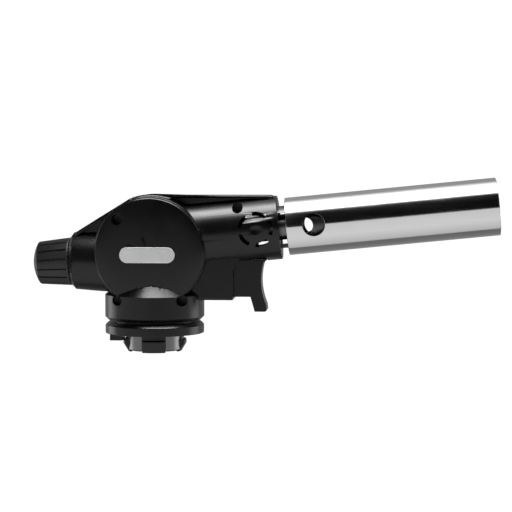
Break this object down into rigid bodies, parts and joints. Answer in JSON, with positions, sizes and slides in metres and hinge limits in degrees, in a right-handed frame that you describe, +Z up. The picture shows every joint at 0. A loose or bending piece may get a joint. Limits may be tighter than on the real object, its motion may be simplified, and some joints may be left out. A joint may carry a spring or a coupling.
{
  "type": "lampwork torch",
  "caption": "Hand torch head that locks onto a gas canister, with a drum-shaped housing, fluted gas knob, trigger igniter and polished steel flame tube.",
  "frame": {"origin": "on the gas canister's axis, at the underside of the canister collar where the canister's rim seats", "axes": "+X towards the burner tip, +Z up along the canister's axis, +Y away from the labelled half; the housing splits at Y = 0"},
  "size_m": [0.1788, 0.0382, 0.0668],
  "materials": {
    "black_plastic": "moulded, satin gloss, fine texture",
    "knob_plastic": "moulded, satin",
    "label_finish": "smooth, pale grey",
    "polished_steel": "polished stainless steel",
    "dark_steel": "heat-darkened stainless steel",
    "plated_metal": "nickel plated, satin",
    "brass_metal": "machined brass",
    "copper_metal": "drawn copper",
    "screw_steel": "blackened steel",
    "spring_steel": "spring steel",
    "rubber_seal": "nitrile rubber",
    "ceramic": "white glazed ceramic",
    "igniter_plastic": "natural moulded plastic",
    "plunger_plastic": "dark grey moulded plastic",
    "lead_insulation": "red silicone insulation",
    "sintered_bronze": "sintered bronze"
  },
  "bodies": {
    "housing": {"housing_front": "black_plastic", "housing_rear": "black_plastic", "housing_screws": "screw_steel", "label_plate": "label_finish", "gland_nut": "brass_metal", "valve_body": "brass_metal", "inlet_gasket": "rubber_seal", "inlet_filter": "sintered_bronze", "inlet_cup": "plated_metal", "canister_collar": "black_plastic", "collar_screws": "plated_metal", "spring_washer": "screw_steel", "gas_tube": "copper_metal", "jet_holder": "plated_metal", "jet_nozzle": "brass_metal", "burner_sleeve": "dark_steel", "flame_tube": "polished_steel", "flame_holder": "dark_steel", "electrode_insulator": "ceramic", "electrode_wire": "dark_steel", "piezo_case": "igniter_plastic", "piezo_spring": "spring_steel", "ignition_lead": "lead_insulation", "ground_strap": "brass_metal"},
    "knob": {"control_knob": "knob_plastic", "valve_spindle": "brass_metal", "spindle_orings": "rubber_seal"},
    "needle": {"valve_needle": "plated_metal"},
    "trigger": {"trigger": "black_plastic", "piezo_plunger": "plunger_plastic"}
  },
  "joints": [
    {"name": "knob_turn", "type": "hinge", "parent": "housing", "child": "knob", "pos_m": [0, 0, 0.02887], "axis": [-0.9987, 0, -0.0506], "range_deg": [0, 540]},
    {"name": "needle_lift", "type": "slide", "parent": "housing", "child": "needle", "axis": [-0.9987, 0, -0.0506], "range_m": [0, 0.00106]},
    {"name": "trigger_pull", "type": "slide", "parent": "housing", "child": "trigger", "axis": [-1, 0, 0], "range_m": [0, 0.006], "stiffness_N_per_m": 900, "springref_m": -0.003, "deforming": ["piezo_spring"]}
  ],
  "couplings": [
    {"joint": "needle_lift", "follows": "knob_turn", "m_per_rad": 0.00011141}
  ]
}
